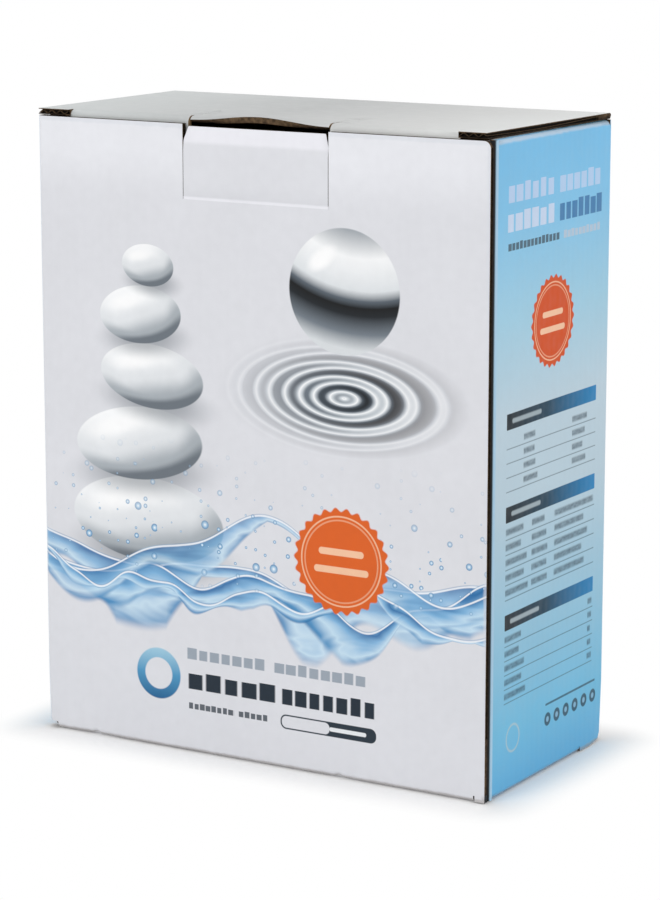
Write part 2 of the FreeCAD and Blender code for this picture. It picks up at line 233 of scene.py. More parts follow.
def addStudio(values):
    world = bpy.data.worlds.new("studio")
    bpy.context.scene.world = world
    world.use_nodes = True
    tree = world.node_tree
    tree.nodes.clear()
    strength = addNode(tree, "MapRange", (seenShare(tree), 0.0, 1.0, values["worldLight"], 1.0))
    sky = addNode(tree, "Background", {"Color": (1, 1, 1, 1), "Strength": strength})
    addNode(tree, "OutputWorld", {"Surface": sky})

    # matt seamless paper; past the object's shadow it is plain white to the camera
    material = newMaterial("matt paper sweep")
    tree = material.node_tree
    place = addNode(tree, "TexCoord").outputs["Object"]
    reach = values["shadowReach"]
    size = (2 * high.x + reach, 2 * high.y + reach)
    near = barField(tree, place, (0, 0), size, reach / 2, reach / 2)
    away = addNode(tree, "Math", (1.0, near), operation="SUBTRACT")
    lit = addNode(tree, "BsdfDiffuse", {"Color": linear(values["floorTone"])})
    white = addNode(tree, "Emission", {"Color": (1, 1, 1, 1), "Strength": 1.0})
    mixed = addNode(tree, "MixShader", (overlap(tree, away, seenShare(tree)), lit, white))
    addNode(tree, "OutputMaterial", {"Surface": mixed})

    half = values["floorHalf"]
    mesh = bpy.data.meshes.new("floor")
    mesh.from_pydata([(-half, -half, 0), (half, -half, 0), (half, half, 0), (-half, half, 0)],
                     [], [(0, 1, 2, 3)])
    mesh.materials.append(material)
    addObject("floor", mesh)
    for name, (place, size, power) in values["lamps"].items():
        data = bpy.data.lights.new(name, "AREA")
        data.shape = "DISK"
        data.size = size
        data.energy = power
        addAimed(name, data, place, values["lampTarget"])


addCamera(camera)
addStudio(studio)
print("camera, floor and lamps placed")


# a row of plain upright blocks, uneven in width and height, where a word would stand
blocks = {
    "narrowest": 0.34,           # half width, as a share of the pitch
    "wider": 0.1,                # how much of it is left to chance
    "low": 0.88,                 # height of a low block, as a share of the tall ones
    "lowShare": 0.7,
}


def blockField(tree, place, centre, size, pitch):
    foot = (centre[0] - size[0] / 2, centre[1] - size[1] / 2, 0)
    local = addNode(tree, "VectorMath", (place, foot), operation="SUBTRACT")
    local = addNode(tree, "VectorMath", (local, (1 / pitch, 1 / size[1], 1)), operation="MULTIPLY")
    parts = addNode(tree, "SeparateXYZ", local).outputs
    index = addNode(tree, "Math", parts["X"], operation="FLOOR")
    share = addNode(tree, "Math", parts["X"], operation="FRACT")
    index = addNode(tree, "Math", (index, centre[0] + 3.7 * centre[1]), operation="ADD")
    chance = addNode(tree, "TexWhiteNoise", {"W": index}, noise_dimensions="1D")
    chance = addNode(tree, "SeparateColor", chance.outputs["Color"]).outputs
    half = addNode(tree, "Math", (chance["Red"], blocks["wider"], blocks["narrowest"]),
                   operation="MULTIPLY_ADD")
    wide = addNode(tree, "Math", (share, 0.5), operation="SUBTRACT")
    wide = addNode(tree, "Math", wide, operation="ABSOLUTE")
    wide = addNode(tree, "Math", (wide, half), operation="SUBTRACT")
    wide = addNode(tree, "MapRange", (wide, -0.04, 0.04, 1.0, 0.0))
    top = addNode(tree, "Math", (chance["Green"], blocks["lowShare"]), operation="GREATER_THAN")
    top = addNode(tree, "Math", (top, 1 - blocks["low"], blocks["low"]), operation="MULTIPLY_ADD")
    under = addNode(tree, "Math", (top, parts["Y"]), operation="GREATER_THAN")
    return overlap(tree, wide, under, barField(tree, place, centre, size, 0.1 * size[1], 0.1))


def layBlocks(tree, place, colour, rows):
    for centre, size, pitch, tone, share in rows:
        colour = layInk(tree, colour, tone, blockField(tree, place, centre, size, pitch), share)
    return colour


# a stack of smooth pale stones: centre, radii and turn of each
stones = {
    "stones": [((-40, 73), (28, 13.5), -2), ((-43, 97), (23.5, 11.5), 4),
               ((-38, 118.5), (19, 10), -5), ((-42, 137.5), (15, 9), 3), ((-39, 153), (9.5, 6.5), -4)],
    "shade": "#6f777f",
    "tones": [(0.02, "#6c747c"), (0.22, "#a9b0b6"), (0.5, "#e3e6e9"), (0.8, "#fafbfc")],
}


def paintStones(tree, place, colour, values):
    for centre, radii, turn in values["stones"]:
        shadow, _, _ = ellipseField(tree, place, (centre[0] + 1.5, centre[1] - 0.8 * radii[1]),
                                    (0.85 * radii[0], 0.55 * radii[1]), turn, 0.6)
        colour = layInk(tree, colour, values["shade"], shadow, 0.6)
        mask, local, away = ellipseField(tree, place, centre, radii, turn, 0.015)
        parts = addNode(tree, "SeparateXYZ", local).outputs
        lit = addNode(tree, "Math", (parts["Y"], 0.42, 0.5), operation="MULTIPLY_ADD")
        lit = addNode(tree, "Math", (parts["X"], -0.2, lit), operation="MULTIPLY_ADD")
        rim = addNode(tree, "MapRange", (away, 0.55, 1.0), interpolation_type="SMOOTHSTEP")
        lit = addNode(tree, "Math", (rim, -0.16, lit), operation="MULTIPLY_ADD")
        tone = addNode(tree, "ValToRGB", lit, values["tones"])
        tone.color_ramp.interpolation = "EASE"
        colour = layInk(tree, colour, tone, mask)
        gleam, _, _ = ellipseField(tree, place, (centre[0] - 0.35 * radii[0], centre[1] + 0.42 * radii[1]),
                                   (0.36 * radii[0], 0.2 * radii[1]), turn + 12, 0.7)
        colour = layInk(tree, colour, (1, 1, 1, 1), gleam, 0.75)
    return colour


# silver ripples with a polished ball over them
ripples = {
    "centre": (31, 118),
    "radii": (47, 20),
    "rings": 4.5,
    "tones": [(0.0, "#14181d"), (0.2, "#4a535c"), (0.42, "#b3bac1"), (0.62, "#f6f8f9"), (0.85, "#bfc6cc"),
              (1.0, "#6a737c")],
    "ballCentre": (31, 150),
    "ballRadius": 19.0,
    "ballTones": [(0.03, "#d9dde0"), (0.2, "#737c85"), (0.37, "#1a1f24"), (0.44, "#0a0c0f"),
                  (0.5, "#5a636c"), (0.58, "#dfe3e6"), (0.8, "#f7f8f9"), (0.97, "#8d959d")],
}


def paintRipples(tree, place, colour, values):
    mask, local, away = ellipseField(tree, place, values["centre"], values["radii"], 0, 0.2)
    parts = addNode(tree, "SeparateXYZ", local).outputs
    wave = waveField(tree, away, 1 / values["rings"])
    lean = addNode(tree, "Math", (parts["X"], -0.35, 0.5), operation="MULTIPLY_ADD")
    wave = addNode(tree, "Math", (wave, 0.42, lean), operation="MULTIPLY_ADD")
    fade = addNode(tree, "MapRange", (away, 0.25, 1.0, 1.0, 0.0), interpolation_type="SMOOTHSTEP")
    silver = addNode(tree, "ValToRGB", wave, values["tones"])
    colour = layInk(tree, colour, silver, mask, fade)
    radius = values["ballRadius"]
    mask, local, away = ellipseField(tree, place, values["ballCentre"], radius, -8, 0.012)
    parts = addNode(tree, "SeparateXYZ", local).outputs
    curve = addNode(tree, "Math", (away, 2.0), operation="POWER")
    bent = addNode(tree, "Math", (curve, -0.2, parts["Y"]), operation="MULTIPLY_ADD")
    bent = addNode(tree, "Math", (bent, 0.5, 0.55), operation="MULTIPLY_ADD")
    silver = addNode(tree, "ValToRGB", bent, values["ballTones"])
    colour = layInk(tree, colour, silver, mask)
    x, y = values["ballCentre"]
    gleam, _, _ = ellipseField(tree, place, (x - 0.4 * radius, y + 0.5 * radius),
                               (0.26 * radius, 0.13 * radius), 35, 0.5)
    return layInk(tree, colour, (1, 1, 1, 1), gleam)


# bands of water, each a wavy ribbon: middle height, swing, length of a swing, seed, thickness, share
water = {
    "ribbons": [(62, 9, 58, 3.1, 17, 0.88), (57, 8, 44, 11.7, 12, 0.95), (67, 10, 66, 27.4, 9, 0.8),
                (54, 6, 31, 41.2, 5, 0.9)],
    "tones": [(0.0, "#e6f2fa"), (0.14, "#6da8d2"), (0.3, "#256ca6"), (0.5, "#7fb3db"), (0.7, "#c6e0f1"),
              (0.86, "#4a8dbf"), (1.0, "#24669d")],
    "sprayCells": [(6.2, 0.62), (3.4, 0.75)],    # spacing, share of cells left empty
    "sprayReach": (52, 64, 70, 100),
    "sprayTones": [(0.0, "#ffffff"), (0.45, "#a9cce6"), (1.0, "#3a7bad")],
}


def paintWater(tree, place, colour, values):
    parts = addNode(tree, "SeparateXYZ", place).outputs
    across, height = parts["X"], parts["Y"]
    swirl = addNode(tree, "VectorMath", (place, (0.035, 0.12, 0)), operation="MULTIPLY")
    swirl = addNode(tree, "TexNoise", {"Vector": swirl, "Scale": 1.0, "Detail": 2.0,
                                       "Distortion": 0.6}, noise_dimensions="2D")
    for middle, swing, length, seed, thickness, share in values["ribbons"]:
        along = addNode(tree, "Math", (across, 1 / length, seed), operation="MULTIPLY_ADD")
        crest = addNode(tree, "TexNoise", {"W": along, "Scale": 1.0, "Detail": 1.0,
                                           "Roughness": 0.35}, noise_dimensions="1D")
        crest = addNode(tree, "MapRange", (crest, 0.25, 0.75, middle - swing, middle + swing),
                        clamp=False)
        below = addNode(tree, "Math", (crest, height), operation="SUBTRACT")
        along = addNode(tree, "Math", (along, 50.3), operation="ADD")
        width = addNode(tree, "TexNoise", {"W": along, "Scale": 1.7, "Detail": 0.0},
                        noise_dimensions="1D")
        width = addNode(tree, "MapRange", (width, 0.3, 0.7, 0.25 * thickness, 1.3 * thickness))
        depth = addNode(tree, "Math", (below, width), operation="DIVIDE")
        upper = addNode(tree, "MapRange", (below, -0.25, 0.25))
        lower = addNode(tree, "MapRange", (depth, 0.8, 1.0, 1.0, 0.0), interpolation_type="SMOOTHSTEP")
        tone = addNode(tree, "Math", (swirl, 0.9, depth), operation="MULTIPLY_ADD")
        tone = addNode(tree, "Math", (tone, 0.62), operation="MULTIPLY")
        ink = addNode(tree, "ValToRGB", tone, values["tones"])
        colour = layInk(tree, colour, ink, upper, lower, share)
        colour = layInk(tree, colour, (1, 1, 1, 1), bandField(tree, below, 0.45, 0.3, 0.2), 0.8)
    # drops thrown up over the bands
    first, full, thin, last = values["sprayReach"]
    rising = addNode(tree, "MapRange", (height, first, full))
    falling = addNode(tree, "MapRange", (height, thin, last, 1.0, 0.0))
    for cell, empty in values["sprayCells"]:
        drops = addNode(tree, "TexVoronoi", {"Vector": place, "Scale": 1 / cell},
                        voronoi_dimensions="2D")
        chance = addNode(tree, "SeparateColor", drops.outputs["Color"]).outputs
        size = addNode(tree, "MapRange", (chance["Red"], empty, 1.0, 0.0, 0.24))
        inside = addNode(tree, "Math", (drops.outputs["Distance"], size), operation="DIVIDE")
        kept = addNode(tree, "Math", (size, 0.03), operation="GREATER_THAN")
        mask = addNode(tree, "MapRange", (inside, 0.9, 1.05, 1.0, 0.0))
        ink = addNode(tree, "ValToRGB", inside, values["sprayTones"])
        colour = layInk(tree, colour, ink, mask, rising, falling, kept)
    return colour


# a plain scalloped seal, with two bars in its middle
seal = {
    "front": ((30, 68), 16.5, "#dc6222"),        # centre, radius, ink
    "side": ((40, 140), 14.0, "#cf4d14"),
    "lobes": 26,
    "lobeDepth": 0.035,
    "rings": [(0.84, 0.75), (0.77, 0.45)],
    "bars": [(0.17, 0.95), (-0.17, 1.15)],
    "pale": "#f7cba8",
}


def paintSeal(tree, place, colour, values, side):
    centre, radius, fill = values[side]
    _, local, away = ellipseField(tree, place, centre, radius, 7)
    parts = addNode(tree, "SeparateXYZ", local).outputs
    angle = addNode(tree, "Math", (parts["Y"], parts["X"]), operation="ARCTAN2")
    lobe = addNode(tree, "Math", (angle, values["lobes"]), operation="MULTIPLY")
    lobe = addNode(tree, "Math", lobe, operation="COSINE")
    cut = addNode(tree, "Math", (lobe, values["lobeDepth"], away), operation="MULTIPLY_ADD")
    disc = addNode(tree, "MapRange", (cut, 0.955, 0.985, 1.0, 0.0))
    colour = layInk(tree, colour, fill, disc)
    for share, strength in values["rings"]:
        colour = layInk(tree, colour, values["pale"], bandField(tree, away, share, 0.015, 0.007), strength)
    for up, width in values["bars"]:
        bar = barField(tree, place, (centre[0], centre[1] + up * radius), (width * radius, 0.13 * radius),
                       0.06 * radius)
        colour = layInk(tree, colour, values["pale"], bar, 0.9)
    return colour


# rows of plain blocks in the place of words: centre, size, width of a block, colour, share
title = {
    "blockRows": [
        ((-11.5, 32), (29, 3.6), 4.14, "#8492a0", 0.8), ((22.5, 32), (33, 3.6), 4.12, "#8492a0", 0.8),
        ((-9.5, 23.4), (33, 5.6), 6.6, "#1f2b37", 1.0), ((25.5, 23.4), (34, 5.6), 4.86, "#1f2b37", 1.0),
        ((-17, 15.2), (17, 2.0), 2.1, "#3c4650", 0.9), ((-1.5, 15.2), (11, 2.0), 2.2, "#3c4650", 0.9),
    ],
    "bars": [
        ((25.5, 15.2), (34, 4.6), "#26323d", 1.0), ((17.5, 15.2), (17.1, 3.7), "#dddee3", 1.0),
        ((32.5, 15.2), (13, 1.3), "#e8ebee", 1.0),
    ],
    "ringCentre": (-36.5, 24),
    "ringRadius": 8.2,
    "ringWidth": 0.19,
    "ringTones": [(0.0, "#1f5f8f"), (0.5, "#4f95bf"), (1.0, "#a2cce0")],
}


def paintTitle(tree, place, colour, values):
    colour = layBlocks(tree, place, colour, values["blockRows"])
    for centre, size, tone, share in values["bars"]:
        bar = barField(tree, place, centre, size, 0.45 * min(size))
        colour = layInk(tree, colour, tone, bar, share)
    _, local, away = ellipseField(tree, place, values["ringCentre"], values["ringRadius"])
    parts = addNode(tree, "SeparateXYZ", local).outputs
    tone = addNode(tree, "Math", (parts["Y"], 0.5, 0.5), operation="MULTIPLY_ADD")
    ink = addNode(tree, "ValToRGB", tone, values["ringTones"])
    ring = bandField(tree, away, 1 - values["ringWidth"], values["ringWidth"], 0.03)
    return layInk(tree, colour, ink, ring)


# the right side's print, from its front edge and its foot
sidePrint = {
    "gradient": [(0.02, "#64b1dc"), (0.10, "#70badc"), (0.24, "#92c2da"), (0.45, "#b8cdd9"),
                 (0.58, "#bbcfdb"), (0.72, "#a0cce1"), (0.86, "#83c2e6"), (0.97, "#78bde6")],
    # a paler band along the front fold, then painted shadow of the gap beside the front's cut edge
    "seam": [(4.1, "#a8cae1"), (2.95, "#090b0e")],       # width from the front, tone
    "height": 200.0,
    "blockRows": [
        ((25, 181), (30, 5.6), 5.0, "#c9d4ee", 0.7), ((57, 181), (28, 5.6), 4.66, "#c6d3ee", 0.65),
        ((25, 172.6), (31, 5.8), 5.16, "#d2daee", 0.8), ((57.5, 172.6), (29, 5.8), 4.14, "#2c6a9f", 0.85),
        ((27, 165.4), (33, 2.4), 2.36, "#2a3138", 0.8), ((58.5, 165.4), (25, 2.4), 2.5, "#c0c4cf", 0.7),
    ],
    "middle": 40.5,
    "width": 59.0,
    "headers": [113.7, 85.8, 53.0],
    "headerHeight": 4.8,
    "headerTones": [(0.0, "#08171f"), (0.45, "#113b50"), (1.0, "#1f80b8")],
    "headerBar": (24, (19, 1.4)),
    "headerBarInk": "#c3d3da",
    "ink": "#1d3646",
    "tables": [                  # each dash's start and length
        {"top": 109.6, "rows": 4, "pitch": 4.3, "dashes": [(22, 10), (54, 11)]},
        {"top": 82.6, "rows": 5, "pitch": 4.6, "dashes": [(11, 15), (28, 12), (43, 27)]},
        {"top": 49.8, "rows": 5, "pitch": 4.4, "dashes": [(11, 14), (66.5, 3)]},
    ],
    "marks": [(40 + 6.2 * index, 16.5) for index in range(6)],
    "markRadius": 2.1,
    "markRule": ((55.5, 21.3), (34, 0.7)),
    "markInk": "#12303f",
    "markDot": "#8fc0de",
    "ringCentre": (17, 16.5),
    "ringRadius": 4.6,
    "ringInk": "#b9c7c9",
}


# rows of plain uneven dashes, with a thin rule under each row
def paintTable(tree, place, colour, table, values):
    count, pitch = table["rows"], table["pitch"]
    parts = addNode(tree, "SeparateXYZ", place).outputs
    row = addNode(tree, "Math", (table["top"], parts["Y"]), operation="SUBTRACT")
    row = addNode(tree, "Math", (row, pitch), operation="DIVIDE")
    share = addNode(tree, "Math", row, operation="FRACT")
    index = addNode(tree, "Math", row, operation="FLOOR")
    middle = (values["middle"], table["top"] - count * pitch / 2)
    field = barField(tree, place, middle, (values["width"], count * pitch), 0.2)
    grain = addNode(tree, "VectorMath", (place, (0.5, 0.9, 0)), operation="MULTIPLY")
    uneven = addNode(tree, "TexNoise", {"Vector": grain, "Scale": 1.0, "Detail": 1.0},
                     noise_dimensions="2D")
    uneven = addNode(tree, "MapRange", (uneven, 0.25, 0.75, 0.6, 0.9))
    line = bandField(tree, share, 0.44, 0.2, 0.1)
    for start, length in table["dashes"]:
        spot = addNode(tree, "Math", (index, start), operation="ADD")
        cut = addNode(tree, "TexWhiteNoise", {"W": spot}, noise_dimensions="1D")
        cut = addNode(tree, "MapRange", (cut.outputs["Value"], 0.0, 1.0, 0.62 * length, length))
        along = addNode(tree, "Math", (parts["X"], start), operation="SUBTRACT")
        along = addNode(tree, "Math", (along, cut), operation="DIVIDE")
        colour = layInk(tree, colour, values["ink"], bandField(tree, along, 0.5, 0.5, 0.03), uneven, line,
                        field, 0.8)
    return layInk(tree, colour, values["ink"], bandField(tree, share, 0.93, 0.035, 0.03), field, 0.6)


# the fade that both sides have, from foot to top
def paintFade(tree, height):
    share = addNode(tree, "Math", (height, sidePrint["height"]), operation="DIVIDE")
    return addNode(tree, "ValToRGB", share, sidePrint["gradient"])


def paintSide(tree, place, values):
    parts = addNode(tree, "SeparateXYZ", place).outputs
    colour = paintFade(tree, parts["Y"])
    colour = layBlocks(tree, place, colour, values["blockRows"])
    colour = paintSeal(tree, place, colour, seal, "side")
    middle, half = values["middle"], values["width"] / 2
    shade = addNode(tree, "MapRange", (parts["X"], middle - half, middle + half))
    header = addNode(tree, "ValToRGB", shade, values["headerTones"])
    for z in values["headers"]:
        bar = barField(tree, place, (middle, z), (values["width"], values["headerHeight"]), 0.3)
        colour = layInk(tree, colour, header, bar)
        across, size = values["headerBar"]
        bar = barField(tree, place, (across, z), size, 0.6, 0.3)
        colour = layInk(tree, colour, values["headerBarInk"], bar, 0.6)
    for table in values["tables"]:
        colour = paintTable(tree, place, colour, table, values)
    for centre in values["marks"]:
        mask, _, away = ellipseField(tree, place, centre, values["markRadius"], 0, 0.1)
        colour = layInk(tree, colour, values["markInk"], mask, 0.85)
        colour = layInk(tree, colour, values["markDot"], bandField(tree, away, 0.0, 0.42, 0.1), 0.8)
    colour = layInk(tree, colour, values["markInk"], barField(tree, place, *values["markRule"], 0.2), 0.75)
    _, _, away = ellipseField(tree, place, values["ringCentre"], values["ringRadius"])
    return layInk(tree, colour, values["ringInk"], bandField(tree, away, 0.9, 0.08, 0.05), 0.6)


# the side is paler along its front fold, and painted dark beside the front's cut edge: painted shadow of
# the gap there
def paintSeam(tree, parts, colour):
    for width, tone in sidePrint["seam"]:
        colour = layInk(tree, colour, tone, bandField(tree, parts["Y"], low.y / mm, width, 0.3))
    return colour


# how the sheet looks whatever is printed on it
sheet = {
    "cloud": 34.0,               # soft clouds of uneven ink, in millimetres
    "cloudDepth": 0.035,
    "mottle": 3.6,               # fine mottle of the coating
    "mottleDepth": 0.03,
    "roughness": (0.42, 0.55),
    "fluteRelief": 0.012,
    "specular": 0.22,
    "paleFrom": 1.15,            # how far in from a fold the paper is paler, and over what width
    "paleWidth": 0.9,
    "paleShare": 0.55,
    "foldTone": "#dadde4",
    "footTone": "#98908a",
}


# a material's own place in millimetres
def ownPoint(tree):
    metres = addNode(tree, "TexCoord").outputs["Object"]
    return addNode(tree, "VectorMath", {0: metres, "Scale": 1 / mm}, operation="SCALE")


# the stripes of the flutes under a paper
def fluteBump(tree, relief):
    ply = addNode(tree, "UVMap", uv_map="board")
    across = addNode(tree, "SeparateXYZ", ply).outputs["X"]
    return addNode(tree, "Bump", {"Height": waveField(tree, across, 1), "Strength": 1.0,
                                  "Distance": relief * mm})


def addSkin(tree, colour, roughness, specular, bump):
    skin = addNode(tree, "BsdfPrincipled", {"Base Color": colour, "Roughness": roughness,
                                            "IOR": 1.5, "Specular IOR Level": specular,
                                            "Normal": bump})
    addNode(tree, "OutputMaterial", {"Surface": skin})


# Litho-laminated card: clay-coated paper, offset printed under a satin varnish and glued to fine
# flutes. It gives flat inks, a soft sheen, faint stripes along the flutes, and paler folds that turn
# brown-grey towards the foot.
def finishSheet(name, paint, paleFolds=True, seam=None):
    material = newMaterial(name)
    tree = material.node_tree
    point = ownPoint(tree)
    parts = addNode(tree, "SeparateXYZ", point).outputs
    colour = paint(tree, parts)
    mottle = addNode(tree, "TexNoise", {"Vector": point, "Scale": 1 / sheet["mottle"], "Detail": 1.0})
    if paleFolds:
        # distance to the nearest fold: the second smallest of the distances to the box's planes
        middle = board["panelTop"] / mm / 2
        inset = addNode(tree, "VectorMath", (point, (0, 0, middle)), operation="SUBTRACT")
        inset = addNode(tree, "VectorMath", inset, operation="ABSOLUTE")
        inset = addNode(tree, "VectorMath", ((high.x / mm, high.y / mm, middle), inset),
                        operation="SUBTRACT")
        inset = addNode(tree, "SeparateXYZ", inset).outputs
        least = addNode(tree, "Math", (inset["X"], inset["Y"]), operation="MINIMUM")
        most = addNode(tree, "Math", (inset["X"], inset["Y"]), operation="MAXIMUM")
        most = addNode(tree, "Math", (most, inset["Z"]), operation="MINIMUM")
        away = addNode(tree, "Math", (least, most), operation="MAXIMUM")
        away = addNode(tree, "Math", (mottle, 0.6, away), operation="MULTIPLY_ADD")
        # paler along the folds, and brown-grey there towards the foot
        first, last = sheet["paleFrom"], sheet["paleFrom"] + sheet["paleWidth"]
        nearFold = addNode(tree, "MapRange", (away, first, last, sheet["paleShare"], 0.0),
                         interpolation_type="SMOOTHSTEP")
        nearFoot = addNode(tree, "MapRange", (parts["Z"], 1.2, 3.0, 1.0, 0.0))
        tone = layInk(tree, linear(sheet["foldTone"]), sheet["footTone"], nearFoot)
        colour = layInk(tree, colour, tone, nearFold)
    if seam:
        colour = seam(tree, parts, colour)
    clouds = addNode(tree, "TexNoise", {"Vector": point, "Scale": 1 / sheet["cloud"], "Detail": 2.0})
    clouds = addNode(tree, "MapRange", (clouds, 0.3, 0.7, 1 - sheet["cloudDepth"], 1.0))
    shade = addNode(tree, "MapRange", (mottle, 0.25, 0.75, 1 - sheet["mottleDepth"] / 2,
                                       1 + sheet["mottleDepth"] / 2))
    shade = addNode(tree, "Math", (shade, clouds), operation="MULTIPLY")
    colour = addNode(tree, "VectorMath", {0: colour, "Scale": shade}, operation="SCALE")
    rough = addNode(tree, "MapRange", (mottle, 0.3, 0.7, sheet["roughness"][0], sheet["roughness"][1]))
    addSkin(tree, colour, rough, sheet["specular"], fluteBump(tree, sheet["fluteRelief"]))
    return material


paper = {
    "front": "#dedfe4",
    "frontHighlight": "#e8e9ee",       # painted highlight: the front is painted lighter towards its top
    "frontTopFrom": 172.0,
    "frontTopTo": 190.0,
    "plain": "#dcdde0",
    "tongueHighlight": "#ebebf1",  # painted highlight, along the tongue's crease, and over this much of its tip
    "tipDepth": 5.6,
    # painted shade: the lid is painted darker across its middle and in a soft band, for the shading of a
    # slight warp in the board
    "lidShadeTones": [(0.0, "#cfd3d3"), (0.45, "#bcbebe"), (0.8, "#d3d4d3"), (1.0, "#e3e5e4")],
    "lidShadeBand": ((-24, 8), (42, 5), 5),
    "lidShadeTone": "#acafb0",
    "lidShadeShare": 0.5,
}


def paintFront(tree, parts):
    place = addNode(tree, "CombineXYZ", (parts["X"], parts["Z"]))
    # painted highlight: the front is lighter towards its top
    topHighlight = addNode(tree, "MapRange", (parts["Z"], paper["frontTopFrom"], paper["frontTopTo"]),
                      interpolation_type="SMOOTHSTEP")
    colour = layInk(tree, linear(paper["front"]), paper["frontHighlight"], topHighlight)
    colour = paintStones(tree, place, colour, stones)
    colour = paintRipples(tree, place, colour, ripples)
    colour = paintWater(tree, place, colour, water)
    colour = paintSeal(tree, place, colour, seal, "front")
    return paintTitle(tree, place, colour, title)


def paintTongue(tree, parts):
    # painted highlight: the tongue's tip, bent towards the light, and its crease are painted lighter
    tip = board["panelTop"] / mm - paper["tipDepth"]
    band = addNode(tree, "MapRange", (parts["Z"], tip - 0.8, tip + 0.8),
                   interpolation_type="SMOOTHSTEP")
    colour = layInk(tree, linear(paper["front"]), paper["tongueHighlight"], band)
    crease = bandField(tree, parts["Z"], tongueRoot / mm, 0.5, 0.3)
    return layInk(tree, colour, paper["tongueHighlight"], crease)


def paintRight(tree, parts):
    fromFront = addNode(tree, "Math", (parts["Y"], high.y / mm), operation="ADD")
    place = addNode(tree, "CombineXYZ", (fromFront, parts["Z"]))
    return paintSide(tree, place, sidePrint)


def paintLeft(tree, parts):
    return paintFade(tree, parts["Z"])


def paintPlain(tree, parts):
    return linear(paper["plain"])


def paintLid(tree, parts):
    # painted shade across the lid from side to side, and a darker soft band
    share = addNode(tree, "MapRange", (parts["X"], low.x / mm, high.x / mm))
    colour = addNode(tree, "ValToRGB", share, paper["lidShadeTones"])
    centre, radii, turn = paper["lidShadeBand"]
    lidShade, _, _ = ellipseField(tree, ownPoint(tree), centre, radii, turn, 0.6)
    return layInk(tree, colour, paper["lidShadeTone"], lidShade, paper["lidShadeShare"])


# Recycled kraft liner: machine-made brown paper, with short fibres and darker flecks. The flutes
# glued under it show as soft stripes.
kraft = {
    "fibreScale": 0.9,           # per millimetre
    "fibreTones": [(0.3, "#846849"), (0.7, "#b2966f")],
    "fleckScale": 0.35,
    "fleckTone": "#6e5339",
    "fluteRelief": 0.03,
    "roughness": 0.85,
    "specular": 0.25,
}


def kraftLiner():
    material = newMaterial("recycled kraft liner")
    tree = material.node_tree
    point = ownPoint(tree)
    fibres = addNode(tree, "TexNoise", {"Vector": point, "Scale": kraft["fibreScale"], "Detail": 4.0,
                                        "Roughness": 0.7})
    colour = addNode(tree, "ValToRGB", fibres, kraft["fibreTones"])
    flecks = addNode(tree, "TexVoronoi", {"Vector": point, "Scale": kraft["fleckScale"]})
    fleck = addNode(tree, "MapRange", (flecks, 0.06, 0.12, 0.6, 0.0))
    colour = layInk(tree, colour, kraft["fleckTone"], fleck)
    addSkin(tree, colour, kraft["roughness"], kraft["specular"], fluteBump(tree, kraft["fluteRelief"]))
    return material


# Brown board paper seen on edge, from pale fibre to near-black, painted as the shade of a hollow. It is
# painted darker from the print side to the liner side: painted shade, deeper in the edge.
raw = {
    "frayScale": 0.9,            # per millimetre
    "frayDepth": 0.1 * mm,
    "edgeShadeTone": "#0f0b08",
    "edgeShadeMost": 0.75,
    "roughness": 0.9,
    "specular": 0.15,
}


def rawPaper(name, tones):
    material = newMaterial(name)
    tree = material.node_tree
    fray = addNode(tree, "TexNoise", {"Vector": ownPoint(tree), "Scale": raw["frayScale"], "Detail": 2.0})
    colour = addNode(tree, "ValToRGB", fray, tones)
    ply = addNode(tree, "UVMap", uv_map="board")
    # painted shade: darker the deeper in the edge
    edgeShade = addNode(tree, "SeparateXYZ", ply).outputs["Y"]
    edgeShade = addNode(tree, "MapRange", (edgeShade, 0.1, 0.7, 0.0, raw["edgeShadeMost"]))
    colour = layInk(tree, colour, raw["edgeShadeTone"], edgeShade)
    bump = addNode(tree, "Bump", {"Height": fray, "Strength": 0.6, "Distance": raw["frayDepth"]})
    addSkin(tree, colour, raw["roughness"], raw["specular"], bump)
    return material


coatedName = "offset-printed clay-coated paper, "
materials = {
    "front": finishSheet(coatedName + "front", paintFront),
    "right": finishSheet(coatedName + "right side", paintRight, seam=paintSeam),
    "left": finishSheet(coatedName + "left side", paintLeft),
    "plain": finishSheet("clay-coated paper, unprinted", paintPlain),
    "lid": finishSheet("clay-coated paper, lid", paintLid, paleFolds=False),
    "tongue": finishSheet("clay-coated paper, tongue", paintTongue, paleFolds=False),
    "kraft": kraftLiner(),
    # the knife leaves the flutes behind the liners' edges hollow; these edge papers are painted dark brown
    # to near-black, painted shade for the shadow in the cut edges and their hollows
    "edge": rawPaper("die-cut board edge", [(0.3, "#3a2d20"), (0.7, "#6b5640")]),
    "hollow": rawPaper("hollow of the flutes", [(0.3, "#0c0907"), (0.7, "#191310")]),
    "medium": rawPaper("recycled fluting paper", [(0.3, "#33281c"), (0.7, "#564532")]),
}
print("materials made")


